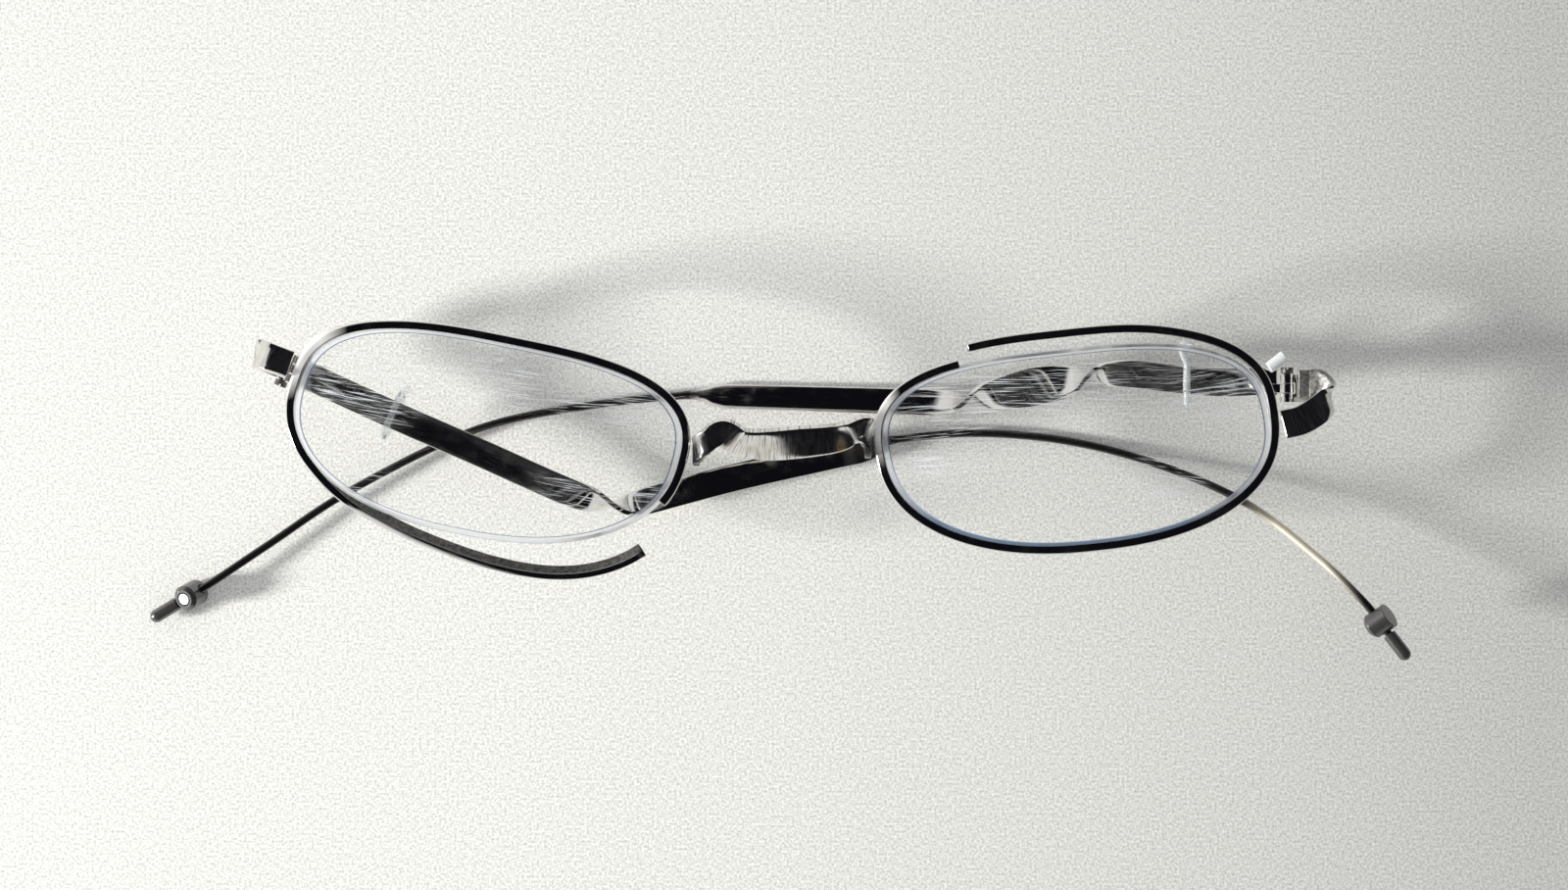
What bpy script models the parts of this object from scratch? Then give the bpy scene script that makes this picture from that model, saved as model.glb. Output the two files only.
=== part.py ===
"""Broken metal eyeglasses, lying lens fronts up on their two folded temples.

X runs along the front, Y towards the brows and Z up from the surface they lie on.
Left and right are as seen from above. The origin ends up under the middle of the object.
"""
import math

import bmesh
import bpy
from mathutils import Matrix, Vector

MM = 0.001
LEFT, RIGHT = -1, 1
SIDES = {LEFT: "left", RIGHT: "right"}
GAP = 0.15 * MM

# Lenses: one mirrored outline, each turned a little by the bent front
LENS_WIDTH = 52.2 * MM
LENS_HEIGHT = 26.4 * MM
LENS_THICKNESS = 1.9 * MM
LENS_CURVE_RADIUS = 132 * MM
LENS_ARCH = 1.8 * MM
LENS_LEAN = 1.0 * MM
LENS_SQUARENESS = 2.5
LENS_RIDGE = 0.5 * MM
LENS_APEX_HEIGHT = 16.0 * MM
LENS_TURN = {LEFT: math.radians(-11.4), RIGHT: math.radians(6.2)}
LENS_LIFT = {LEFT: 0.9 * MM, RIGHT: -0.35 * MM}
LENS_SLIDE = -0.3 * MM
NOSE_GAP = 26.6 * MM

# Rims: a grooved wire cut through once, its free end sprung away from the lens
RIM_WALL = 0.6 * MM
RIM_DEPTH = 2.1 * MM
RIM_LIP = 0.15 * MM
RIM_CHAMFER = 0.2 * MM

# All in degrees round the lens, anticlockwise: where the cut is, how far the wire runs,
# and each bend and each twist as where it starts and how far it turns
RIM_CUT = {LEFT: -19.2, RIGHT: 116.4}
RIM_SWEEP = {LEFT: 354.1, RIGHT: 359.7}
RIM_BENDS = {
    LEFT: ((121, -5.0), (147, 6.6), (175, -3.4), (203, -2.3), (240, -4.8), (290, 4.1)),
    RIGHT: ((345, -5.5), (390, -0.5), (425, 5.8)),
}
RIM_TWISTS = {LEFT: ((129, -20), (158, 20), (221, 32)), RIGHT: ()}
RIM_BEND_LENGTH = 30

# Bridge: a crumpled ribbon between the rims
BRIDGE_WIDTH = 4.6 * MM
BRIDGE_FOOT_WIDTH = 3.6 * MM
BRIDGE_THICKNESS = 0.95 * MM
BRIDGE_HEIGHT = 16.0 * MM

# End-pieces: flat strips bent back in a U from the rim to the hinge
END_PIECE_AT = {LEFT: 175.2, RIGHT: -3.9}
END_PIECE_WIDTH = 3.9 * MM
END_PIECE_THICKNESS = 1.1 * MM

# Hinges: where each pin stands from the lens's edge by the end-piece
PIN_FROM_LENS = {LEFT: Vector((-2.24, 0.95, -4.44)) * MM, RIGHT: Vector((2.41, 4.87, -4.43)) * MM}
HINGE_TURN = {LEFT: math.radians(157.4), RIGHT: 0.0}
BARREL_RADIUS = 0.95 * MM
BARREL_LENGTH = 3.7 * MM
KNUCKLE_LENGTH = 1.2 * MM
LEAF_THICKNESS = 0.5 * MM
FRONT_LEAF_LENGTH = 3.3 * MM
TEMPLE_LEAF_LENGTH = 8.6 * MM
SCREW_RADIUS = 0.45 * MM
SCREW_HEAD_RADIUS = 0.85 * MM
SCREW_HEAD_HEIGHT = 0.8 * MM
SLOT_WIDTH = 0.3 * MM
SLOT_DEPTH = 0.3 * MM
RUNNING_GAP = 0.08 * MM

# Temples: a flat band, drawn down to a wire behind the middle. The reach is from pin to tip
TEMPLE_REACH = 147.7 * MM
BAND_WIDTH = 3.75 * MM
BAND_THICKNESS = 0.9 * MM
WIRE_DIAMETER = 1.05 * MM

# Tips: a cross-drilled barrel on the wire and a rounded cap on its end
STOP_RADIUS = 1.75 * MM
STOP_LENGTH = 3.4 * MM
STOP_CHAMFER = 0.5 * MM
STOP_SCREW_RADIUS = 0.8 * MM
STOP_SCREW_LENGTH = 0.7 * MM
CAP_RADIUS = 0.9 * MM
CAP_LENGTH = 4.2 * MM
CAP_BORE_DEPTH = 2.6 * MM
STOP_TO_CAP = 2.1 * MM

# Small plastic parts: a loop wound round each band and the right hinge's bushing
LOOP_DIAMETER = 0.85 * MM
BUSHING_RADIUS = 0.8 * MM
BUSHING_LENGTH = 2.6 * MM
BUSHING_BORE_RADIUS = 0.45 * MM
BUSHING_TURN = math.radians(38)
BUSHING_RISE = Vector((0, 0, 0.6)) * MM

# Mesh fineness
LENS_POINTS = 56
RIM_STEPS = 60
SECTION_SIDES = 8
ROUND_SIDES = 20
PATH_STEPS = 3

METAL = ((0.75, 0.74, 0.72, 1), 0.12, 1.0)
CLEAR = ((0.85, 0.88, 0.92, 1), 0.05, 0.0)
MILKY = ((0.86, 0.88, 0.87, 1), 0.3, 0.0)


def clear_scene():
    for thing in list(bpy.data.objects):
        bpy.data.objects.remove(thing, do_unlink=True)


def new_collection(name):
    collection = bpy.data.collections.new(name)
    bpy.context.scene.collection.children.link(collection)
    return collection


def finish(name, look):
    color, roughness, metallic = look
    material = bpy.data.materials.new(name)
    material.use_nodes = True
    shader = material.node_tree.nodes["Principled BSDF"]
    shader.inputs["Base Color"].default_value = color
    shader.inputs["Roughness"].default_value = roughness
    shader.inputs["Metallic"].default_value = metallic
    return material


def add_object(name, data, look, place=Matrix.Identity(4)):
    """Link one sub-part with a material of its own."""
    thing = bpy.data.objects.new(name, data)
    thing.matrix_world = place
    data.materials.append(finish(name, look))
    glasses.objects.link(thing)
    return thing


def add_cutter(name, data, place):
    thing = bpy.data.objects.new(name, data)
    thing.matrix_world = place
    thing.hide_render = True
    thing.display_type = "WIRE"
    cutters.objects.link(thing)
    return thing


def cut(thing, cutter):
    boolean = thing.modifiers.new(cutter.name, "BOOLEAN")
    boolean.operation = "DIFFERENCE"
    boolean.object = cutter


def mesh_from(bm, name):
    mesh = bpy.data.meshes.new(name)
    bmesh.ops.recalc_face_normals(bm, faces=bm.faces)
    bm.to_mesh(mesh)
    bm.free()
    mesh.shade_smooth()
    mesh.set_sharp_from_angle(angle=math.radians(35))
    return mesh


def loft(name, rings, domed=False):
    """Skin a list of rings of points, and cap both ends."""
    bm = bmesh.new()
    loops = [[bm.verts.new(point) for point in ring] for ring in rings]
    for lower, upper in zip(loops, loops[1:]):
        for i, vertex in enumerate(lower):
            after = (i + 1) % len(lower)
            bm.faces.new((vertex, lower[after], upper[after], upper[i]))
    caps = [bm.faces.new(loops[0]), bm.faces.new(loops[-1])]
    if domed:
        bmesh.ops.poke(bm, faces=caps)
    return mesh_from(bm, name)


def cylinder(name, radius, length):
    bm = bmesh.new()
    bmesh.ops.create_cone(
        bm, cap_ends=True, segments=ROUND_SIDES, radius1=radius, radius2=radius, depth=length)
    return mesh_from(bm, name)


def box(name, width, depth, height):
    bm = bmesh.new()
    bmesh.ops.create_cube(bm, size=1)
    bmesh.ops.scale(bm, verts=bm.verts, vec=(width, depth, height))
    return mesh_from(bm, name)


def turned(name, profile, ring=False):
    """A half profile as (radius, height) from its top to its bottom, for the Screw modifier."""
    mesh = bpy.data.meshes.new(name)
    points = [(radius, 0, height) for radius, height in profile]
    edges = [(i, i + 1) for i in range(len(points) - 1)]
    if ring:
        edges.append((len(points) - 1, 0))
    mesh.from_pydata(points, edges, [])
    return mesh


def add_turning(thing):
    screw = thing.modifiers.new("turning", "SCREW")
    screw.steps = screw.render_steps = ROUND_SIDES
    screw.use_merge_vertices = True
    screw.merge_threshold = 0.001 * MM
    screw.use_smooth_shade = True


def eased(share):
    share = min(max(share, 0.0), 1.0)
    return share * share * (3 - 2 * share)


def between(start, end, share):
    return start + (end - start) * share


def curve_through(a, b, c, d, share):
    """Catmull-Rom point between b and c."""
    near = (c - a) * share
    mid = (a * 2 - b * 5 + c * 4 - d) * share ** 2
    far = (b * 3 - a - c * 3 + d) * share ** 3
    return b + (near + mid + far) / 2


def smooth_path(points):
    """A finer path through the points, with PATH_STEPS pieces between each two."""
    padded = [points[0] * 2 - points[1], *points, points[-1] * 2 - points[-2]]
    path = []
    for i in range(len(points) - 1):
        for step in range(PATH_STEPS):
            path.append(curve_through(*padded[i:i + 4], step / PATH_STEPS))
    return path + [points[-1]]


def tangents(path):
    ends = zip([path[0], *path], [*path[1:], path[-1], path[-1]])
    return [(after - before).normalized() for before, after in ends][:len(path)]


def strip_rings(stations):
    """Rings of a strip, from stations of place, roll, width, thickness and roundness.

    Roundness 0 is a flat band with eased edges and 1 is a round wire.
    """
    path = smooth_path([Vector(station[:3]) * MM for station in stations])
    rings = []
    for i, (point, along) in enumerate(zip(path, tangents(path))):
        first = min(i // PATH_STEPS, len(stations) - 2)
        share = i / PATH_STEPS - first
        roll, width, thickness, roundness = (
            between(a, b, share) for a, b in zip(stations[first][3:], stations[first + 1][3:]))
        across = (Vector((0, 1, 0)) - along * along.y).normalized()
        across = Matrix.Rotation(math.radians(roll), 3, along) @ across
        over = along.cross(across)
        power = 2 / between(9, 2, roundness)
        ring = []
        for side in range(SECTION_SIDES):
            angle = (side + 0.5) * math.tau / SECTION_SIDES
            wide = math.copysign(abs(math.cos(angle)) ** power, math.cos(angle))
            thick = math.copysign(abs(math.sin(angle)) ** power, math.sin(angle))
            ring.append(point + (across * wide * width + over * thick * thickness) * MM / 2)
        rings.append(ring)
    return rings


def shifted(stations, origin):
    """Move stations given in millimetres from a point given in metres."""
    x, y, z = origin / MM
    return [(x + station[0], y + station[1], z + station[2], *station[3:]) for station in stations]


def axis_place(point, direction):
    """Frame at a point whose Z runs along a direction."""
    return Matrix.Translation(point) @ direction.to_track_quat("Z", "Y").to_matrix().to_4x4()


def ridge_point(side, angle):
    """Tip of a lens's edge bevel, in the lens's own frame; the lower edge leans to the temple."""
    across = math.copysign(abs(math.cos(angle)) ** (2 / LENS_SQUARENESS), math.cos(angle))
    up = math.copysign(abs(math.sin(angle)) ** (2 / LENS_SQUARENESS), math.sin(angle))
    x = across * LENS_WIDTH / 2 - side * LENS_LEAN * up
    y = up * LENS_HEIGHT / 2 + LENS_ARCH * across ** 2
    return Vector((x, y, -lens_sag(x, y) - LENS_THICKNESS / 2))


def lens_sag(x, y):
    return LENS_CURVE_RADIUS - math.sqrt(LENS_CURVE_RADIUS ** 2 - x ** 2 - y ** 2)


def outward(side, angle):
    step = math.radians(1)
    along = ridge_point(side, angle + step) - ridge_point(side, angle - step)
    return Vector((along.y, -along.x, 0)).normalized()


def lens_place(side):
    x = side * (NOSE_GAP + LENS_WIDTH) / 2 + LENS_SLIDE
    centre = Vector((x, LENS_LIFT[side], LENS_APEX_HEIGHT))
    return Matrix.Translation(centre) @ Matrix.Rotation(LENS_TURN[side], 4, "Z")


def make_lens(side):
    """A meniscus ground to the outline, with a V ridge that sits in the rim's groove."""
    angles = [i * math.tau / LENS_POINTS for i in range(LENS_POINTS)]
    ridge = [ridge_point(side, angle) for angle in angles]
    edge = [point - outward(side, angle) * LENS_RIDGE for point, angle in zip(ridge, angles)]

    def face(share, below):
        flat = [(point.x * share, point.y * share) for point in edge]
        return [Vector((x, y, -lens_sag(x, y) - below)) for x, y in flat]

    shares = (0.3, 0.68, 1.0)
    rings = [face(share, 0) for share in shares] + [ridge]
    rings += [face(share, LENS_THICKNESS) for share in reversed(shares)]
    name = f"{SIDES[side]}_lens"
    return add_object(name, loft(name, rings, domed=True), CLEAR, lens_place(side))


def rim_section():
    """The rim wire's section as (outward, up) from the lens ridge: a strip with a V groove."""
    outer = GAP + RIM_WALL
    inner = GAP - LENS_RIDGE
    top = RIM_DEPTH / 2
    lip = top - RIM_LIP
    return [(outer, RIM_CHAMFER - top), (outer, top - RIM_CHAMFER), (outer - RIM_CHAMFER, top),
            (inner, top), (inner, lip), (GAP, 0), (inner, -lip), (inner, -top),
            (outer - RIM_CHAMFER, -top)]


def so_far(turns, angle):
    """How far the turns passed by an angle of the outline add up."""
    return math.radians(sum(turn * eased((angle - at) / RIM_BEND_LENGTH) for at, turn in turns))


def rim_frames(side):
    """Ridge point, outward and up vectors along a rim, from its fixed cut end to its free one."""
    place = lens_place(side)
    turn = place.to_3x3()
    up = Vector((0, 0, 1))
    frames = []
    point = before = place @ ridge_point(side, math.radians(RIM_CUT[side]))
    for i in range(RIM_STEPS + 1):
        angle = RIM_CUT[side] + RIM_SWEEP[side] * i / RIM_STEPS
        unbent = place @ ridge_point(side, math.radians(angle))
        swing = Matrix.Rotation(so_far(RIM_BENDS[side], angle), 3, "Z")
        point = point + swing @ (unbent - before)
        before = unbent
        out = swing @ turn @ outward(side, math.radians(angle))
        roll = Matrix.Rotation(so_far(RIM_TWISTS[side], angle), 3, up.cross(out))
        frames.append((point, roll @ out, roll @ up))
    return frames


def make_rim(side):
    rings = []
    for point, out, up in rim_frames(side):
        rings.append([point + out * u + up * v for u, v in rim_section()])
    name = f"{SIDES[side]}_rim"
    return add_object(name, loft(name, rings), METAL)


def rim_outer(side, angle):
    """Point on the bent rim's outer face, level with the lens ridge."""
    step = (angle - RIM_CUT[side]) % 360 / RIM_SWEEP[side] * RIM_STEPS
    (point, out, _), (after, _, _) = rim_frames(side)[int(step):int(step) + 2]
    return between(point, after, step % 1) + out * (GAP + RIM_WALL)


def nose_face(side):
    """Where the rim's outer face comes nearest to the nose."""
    points = [point + out * (GAP + RIM_WALL) for point, out, up in rim_frames(side)]
    return min(points, key=lambda point: point.x * side).x


def make_bridge():
    """A ribbon whose feet stand against the rims; its middle is tipped and dented."""
    foot = BRIDGE_THICKNESS / 2 + 2 * GAP
    left = nose_face(LEFT) + foot
    right = nose_face(RIGHT) - foot
    wide, narrow, thick = BRIDGE_WIDTH / MM, BRIDGE_FOOT_WIDTH / MM, BRIDGE_THICKNESS / MM
    shape = [(0.000, -1.0, -4.2, 0, narrow, thick), (0.000, -0.8, -1.6, 0, narrow, thick),
             (0.028, -0.1, 0.0, 12, narrow - 0.4, thick), (0.085, 0.9, 0.7, 30, narrow - 0.6, thick),
             (0.155, 1.8, 1.0, 45, wide - 0.9, thick), (0.258, 0.5, 0.5, 46, wide - 0.4, thick),
             (0.406, 0.1, 0.2, 36, wide + 0.4, thick), (0.610, 0.4, 0.2, 34, wide + 0.2, thick),
             (0.805, 0.9, 0.3, 38, wide - 0.4, thick), (0.900, 1.7, 0.7, 46, wide - 0.8, thick),
             (0.972, 2.2, 0.3, 34, narrow, thick), (1.000, 1.2, -1.0, 8, narrow, thick),
             (1.000, 0.2, -2.6, 0, narrow, thick), (1.000, 0.0, -4.4, 0, narrow, thick)]
    stations = []
    for share, up, rise, roll, width, thickness in shape:
        x = between(left, right, share) / MM
        stations.append((x, up, BRIDGE_HEIGHT / MM + rise, roll, width, thickness, 0.12))
    return add_object("bridge", loft("bridge", strip_rings(stations)), METAL)


def pin_at(side):
    """Middle of the hinge's pin, which stays with the lens when a rim is bent."""
    return lens_place(side) @ ridge_point(side, math.radians(END_PIECE_AT[side])) + PIN_FROM_LENS[side]


def hinge_place(side):
    """Frame on the pin: X runs from the temple to the end-piece, Y along the pin."""
    return Matrix.Translation(pin_at(side)) @ Matrix.Rotation(HINGE_TURN[side], 4, "Z")


def make_end_piece(side):
    """A strip that leaves the rim, turns back in a U and ends over the front hinge leaf."""
    wide, thick = END_PIECE_WIDTH / MM, END_PIECE_THICKNESS / MM
    on_leaf = (LEAF_THICKNESS / 2 + GAP + END_PIECE_THICKNESS / 2) / MM
    start = rim_outer(side, END_PIECE_AT[side]) / MM
    pin = pin_at(side) / MM
    outer = {
        LEFT: [(-0.6, 0.2, 0.3, 24), (-2.2, 0.8, 0.5, 28), (-3.7, 1.3, 0.1, 28), (-4.8, 1.7, -1.5, 18)],
        RIGHT: [(0.6, 0.0, 0.3, 0), (3.0, 0.6, 0.6, -6), (5.2, 2.0, 0.3, -10), (6.5, 3.7, -1.0, -8)],
    }[side]
    sideways = {LEFT: 0.2, RIGHT: 0.5}[side]
    stations = [(start.x + x, start.y + y, start.z + z, roll, wide, thick, 0.1) for x, y, z, roll in outer]
    turn = Matrix.Rotation(HINGE_TURN[side], 3, "Z")
    for reach, height in ((3.9, 1.5), (3.2, 0.25), (2.4, 0.1), (1.4, 0.1)):
        x, y, z = pin + turn @ Vector((reach, side * sideways, on_leaf + height))
        stations.append((x, y, z, 0, wide, thick, 0.1))
    name = f"{SIDES[side]}_end_piece"
    return add_object(name, loft(name, strip_rings(stations)), METAL)


def leaf_outline(length, low, high):
    """Side view of a hinge leaf: the barrel's circle with a plate running out along +X."""
    start = math.asin(high / BARREL_RADIUS)
    end = math.tau + math.asin(low / BARREL_RADIUS)
    arc = [between(start, end, i / ROUND_SIDES) for i in range(ROUND_SIDES + 1)]
    round_part = [(math.cos(angle) * BARREL_RADIUS, math.sin(angle) * BARREL_RADIUS) for angle in arc]
    return round_part + [(length, low), (length, high)]


def make_leaf(name, place, outline, width, pin_gap):
    """Push the side view out along the pin and drill it for the screw."""
    rings = [[Vector((x, y, z)) for x, z in outline] for y in (-width / 2, width / 2)]
    leaf = add_object(name, loft(name, rings), METAL, place)
    along_pin = place @ Matrix.Rotation(math.radians(90), 4, "X")
    drill = cylinder(f"{name}_drill", SCREW_RADIUS + pin_gap, 2 * BARREL_LENGTH)
    cut(leaf, add_cutter(f"{name}_drill", drill, along_pin))
    return leaf


def make_front_leaf(side):
    """Two knuckles on one plate, with a slot between them for the temple's knuckle."""
    place = hinge_place(side)
    half = LEAF_THICKNESS / 2
    name = f"{SIDES[side]}_front_hinge_leaf"
    leaf = make_leaf(name, place, leaf_outline(FRONT_LEAF_LENGTH, -half, half), BARREL_LENGTH, RUNNING_GAP)
    reach = 2 * (BARREL_RADIUS + GAP)
    slot = box(f"{name}_slot", reach, KNUCKLE_LENGTH + 2 * GAP, 2 * reach)
    cut(leaf, add_cutter(f"{name}_slot", slot, place))
    return leaf


def make_temple_leaf(side):
    """One knuckle with a tongue that lies along the inner face of the temple's band."""
    place = hinge_place(side) @ Matrix.Rotation(math.radians(180), 4, "Z")
    name = f"{SIDES[side]}_temple_hinge_leaf"
    outline = leaf_outline(TEMPLE_LEAF_LENGTH, -LEAF_THICKNESS / 2, LEAF_THICKNESS / 2)
    return make_leaf(name, place, outline, KNUCKLE_LENGTH, RUNNING_GAP)


def make_hinge_screw(side):
    """A slotted screw that is the hinge's pin, its head against the upper knuckle."""
    end = -BARREL_LENGTH / 2
    under_head = BARREL_LENGTH / 2 + GAP
    top = under_head + SCREW_HEAD_HEIGHT
    profile = [(0, top), (SCREW_HEAD_RADIUS, top), (SCREW_HEAD_RADIUS, under_head),
               (SCREW_RADIUS, under_head), (SCREW_RADIUS, end), (0, end)]
    name = f"{SIDES[side]}_hinge_screw"
    place = hinge_place(side) @ Matrix.Rotation(math.radians(-90), 4, "X")
    screw = add_object(name, turned(name, profile), METAL, place)
    add_turning(screw)
    slot = box(f"{name}_slot", SLOT_WIDTH, 3 * SCREW_HEAD_RADIUS, 2 * SLOT_DEPTH)
    cut(screw, add_cutter(f"{name}_slot", slot, place @ Matrix.Translation((0, 0, top))))
    return screw


def make_bushing():
    """The white tube squeezed out of the right hinge, leaning on its screw head."""
    top = BUSHING_LENGTH / 2
    profile = [(BUSHING_BORE_RADIUS, top), (BUSHING_RADIUS, top), (BUSHING_RADIUS, -top),
               (BUSHING_BORE_RADIUS, -top)]
    head_corner = Vector((-SCREW_HEAD_RADIUS, BARREL_LENGTH / 2 + GAP + SCREW_HEAD_HEIGHT, 0))
    along = Vector((math.cos(BUSHING_TURN), math.sin(BUSHING_TURN), 0))
    away = Vector((-along.y, along.x, 0)) * (BUSHING_RADIUS + GAP)
    place = axis_place(pin_at(RIGHT) + head_corner + away + BUSHING_RISE, along)
    bushing = add_object("right_hinge_bushing", turned("right_hinge_bushing", profile, True), MILKY, place)
    add_turning(bushing)
    return bushing


def temple_stations(side):
    """The temple from the hinge to its end, in millimetres from the pin.

    Each station holds x, y, z, roll in degrees, width, thickness and roundness. A fifth number
    in the route is how much wider the band is flattened there. The curl is given as shares of
    the wire's reach, with y and z.
    """
    band, flat, wire = BAND_WIDTH / MM, BAND_THICKNESS / MM, WIRE_DIAMETER / MM
    under = -(LEAF_THICKNESS / 2 + GAP + BAND_THICKNESS / 2) / MM
    start = (BARREL_RADIUS + 2 * GAP) / MM
    if side == LEFT:
        slope = HINGE_TURN[LEFT] - math.pi
        route = [(start * math.cos(slope), start * math.sin(slope), under, 0),
                 (14.0, -6.4, under - 0.5, 0), (24.5, -11.0, -1.8, 0), (34.9, -15.7, -2.9, 0),
                 (38.9, -17.3, -3.5, 18), (41.5, -18.2, -4.0, 55), (43.5, -18.6, -4.3, 92),
                 (45.5, -18.6, -4.6, 130), (48.1, -18.1, -4.9, 166), (53.4, -16.6, -5.3, 180),
                 (62.0, -14.4, -5.6, 180), (76.8, -11.1, -5.9, 180)]
        neck = [(79.6, -10.3, -6.1), (82.2, -9.7, -6.3)]
        curl = [(0.16, -8.9, -6.9), (0.35, -9.9, -7.3), (0.54, -13.0, -6.5), (0.73, -18.4, -3.5),
                (0.875, -25.6, -1.1)]
    else:
        route = [(-start, 0.9, under, 0), (-9.5, 0.8, under - 0.3, 0), (-15.5, 1.3, -1.2, 0),
                 (-20.2, 1.9, -1.6, -8), (-24.0, 1.9, -1.9, -36), (-26.4, 1.6, -2.3, -90),
                 (-28.8, 1.1, -2.7, -142, 1.0), (-34.2, 0.1, -3.5, -180, 1.5),
                 (-39.8, -0.9, -4.3, -222, 0.8), (-42.4, -1.5, -4.8, -270),
                 (-44.7, -1.8, -5.2, -314), (-48.4, -1.8, -5.7, -330), (-54.2, -1.6, -6.2, -330),
                 (-64.8, -1.3, -6.4, -328), (-75.2, -1.0, -6.45, -324)]
        neck = [(-78.4, -0.8, -6.7), (-81.4, -0.9, -6.8)]
        curl = [(0.191, -2.3, -6.7), (0.418, -5.5, -6.4), (0.669, -13.6, -6.0), (0.841, -21.1, -5.7)]
    roll = route[-1][3]
    stations = [(*place[:4], band + sum(place[4:]), flat, 0.1) for place in route]
    stations.append((*neck[0], roll, between(wire, band, 0.3), wire, 0.6))
    stations.append((*neck[1], roll, wire, wire, 1))
    barrel, heading = tip_of(side)
    for share, y, z in curl:
        x = between(neck[1][0], barrel.x, share)
        stations.append((x, y, z, roll, wire, wire, 1))
    into_cap = STOP_TO_CAP + CAP_BORE_DEPTH - GAP
    for reach in (-STOP_LENGTH, 0, STOP_TO_CAP, into_cap):
        stations.append((*(barrel + heading * reach / MM), roll, wire, wire, 1))
    return shifted(stations, pin_at(side))


def tip_of(side):
    """The barrel's place from the hinge pin in millimetres, and the wire's heading through it."""
    reach = TEMPLE_REACH / MM
    barrel = {LEFT: Vector((reach - 1.3, -34.2, 0.9)), RIGHT: Vector((-reach - 0.2, -28.0, -5.6))}[side]
    heading = {LEFT: Vector((0.60, -0.79, 0.15)), RIGHT: Vector((-0.85, -0.51, -0.08))}[side]
    return barrel, heading.normalized()


def make_temple(side):
    name = f"{SIDES[side]}_temple"
    return add_object(name, loft(name, strip_rings(temple_stations(side))), METAL)


def make_tip(side):
    """The barrel with its screw, and the cap whose blind bore holds the wire's end."""
    barrel, along = tip_of(side)
    barrel = pin_at(side) + barrel * MM
    lean = {LEFT: Vector((-0.735, -0.543, -0.407)), RIGHT: Vector((-0.42, -0.27, 0.86))}[side]
    place = axis_place(barrel, lean)
    along_wire = axis_place(barrel, along)
    half = STOP_LENGTH / 2
    side_name = SIDES[side]

    profile = [(0, half), (STOP_RADIUS - STOP_CHAMFER, half), (STOP_RADIUS, half - STOP_CHAMFER),
               (STOP_RADIUS, -half), (0, -half)]
    name = f"{side_name}_tip_stop"
    stop = add_object(name, turned(name, profile), METAL, place)
    add_turning(stop)
    hole = cylinder(f"{name}_hole", WIRE_DIAMETER / 2 + GAP, 4 * STOP_LENGTH)
    cut(stop, add_cutter(f"{name}_hole", hole, along_wire))
    seat = cylinder(f"{name}_seat", STOP_SCREW_RADIUS + GAP, 2 * (STOP_SCREW_LENGTH + GAP))
    cut(stop, add_cutter(f"{name}_seat", seat, place @ Matrix.Translation((0, 0, half))))

    name = f"{side_name}_tip_stop_screw"
    profile = [(0, half), (STOP_SCREW_RADIUS, half), (STOP_SCREW_RADIUS, half - STOP_SCREW_LENGTH),
               (0, half - STOP_SCREW_LENGTH)]
    add_turning(add_object(name, turned(name, profile), METAL, place))

    name = f"{side_name}_tip_cap"
    bore = WIRE_DIAMETER / 2 + GAP
    rounding = [i * math.pi / 8 for i in range(4, -1, -1)]
    nose = [(CAP_RADIUS * math.cos(a), CAP_LENGTH - CAP_RADIUS + CAP_RADIUS * math.sin(a)) for a in rounding]
    nose[0] = (0, CAP_LENGTH)
    profile = nose + [(CAP_RADIUS, 0), (bore, 0), (bore, CAP_BORE_DEPTH), (0, CAP_BORE_DEPTH)]
    start = along_wire @ Matrix.Translation((0, 0, STOP_TO_CAP))
    add_turning(add_object(name, turned(name, profile), METAL, start))


def make_loop(side):
    """A plastic tube wound once round the band, its cut end standing out on the brow side."""
    clear_of_face = (BAND_THICKNESS + LOOP_DIAMETER) / 2 + 2 * GAP
    clear_of_edge = (BAND_WIDTH + LOOP_DIAMETER) / 2 + GAP
    face, edge = clear_of_face / MM, clear_of_edge / MM
    tail = {
        LEFT: [(1.1, edge + 1.7, face + 0.3), (0.3, edge + 0.9, face + 0.2)],
        RIGHT: [(0.9, edge + 2.1, face + 0.7), (0.0, edge + 2.6, face + 0.8),
                (-0.8, edge + 2.0, face + 0.7), (-0.5, edge + 0.9, face + 0.3)],
    }[side]
    inset, outset = 0.4, 0.6
    wound = [(0.0, edge - inset, face), (0.0, 0.0, face), (0.0, inset - edge, face),
             (0.1, -edge - outset, face / 2), (0.2, -edge - outset, -face / 2),
             (0.3, inset - edge, -face), (0.3, 0.0, -face), (0.3, edge - inset, -face),
             (0.3, edge + outset / 2, -face / 2)]
    station = Vector(temple_stations(side)[1][:3]) * MM
    reach = {LEFT: Vector((0, 0, 0)), RIGHT: Vector((-4.0, 0.25, -0.2)) * MM}[side]
    slope = HINGE_TURN[side] - math.pi if side == LEFT else HINGE_TURN[side]
    place = Matrix.Translation(station + reach) @ Matrix.Rotation(slope, 4, "Z")
    curve = bpy.data.curves.new(f"{SIDES[side]}_temple_loop", "CURVE")
    curve.dimensions = "3D"
    curve.bevel_depth = LOOP_DIAMETER / 2
    curve.bevel_resolution = 2
    curve.use_fill_caps = True
    path = smooth_path([Vector(point) * MM for point in tail + wound])
    spline = curve.splines.new("POLY")
    spline.points.add(len(path) - 1)
    for point, place_in_path in zip(spline.points, path):
        point.co = (*place_in_path, 1)
    return add_object(f"{SIDES[side]}_temple_loop", curve, MILKY, place)


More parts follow.
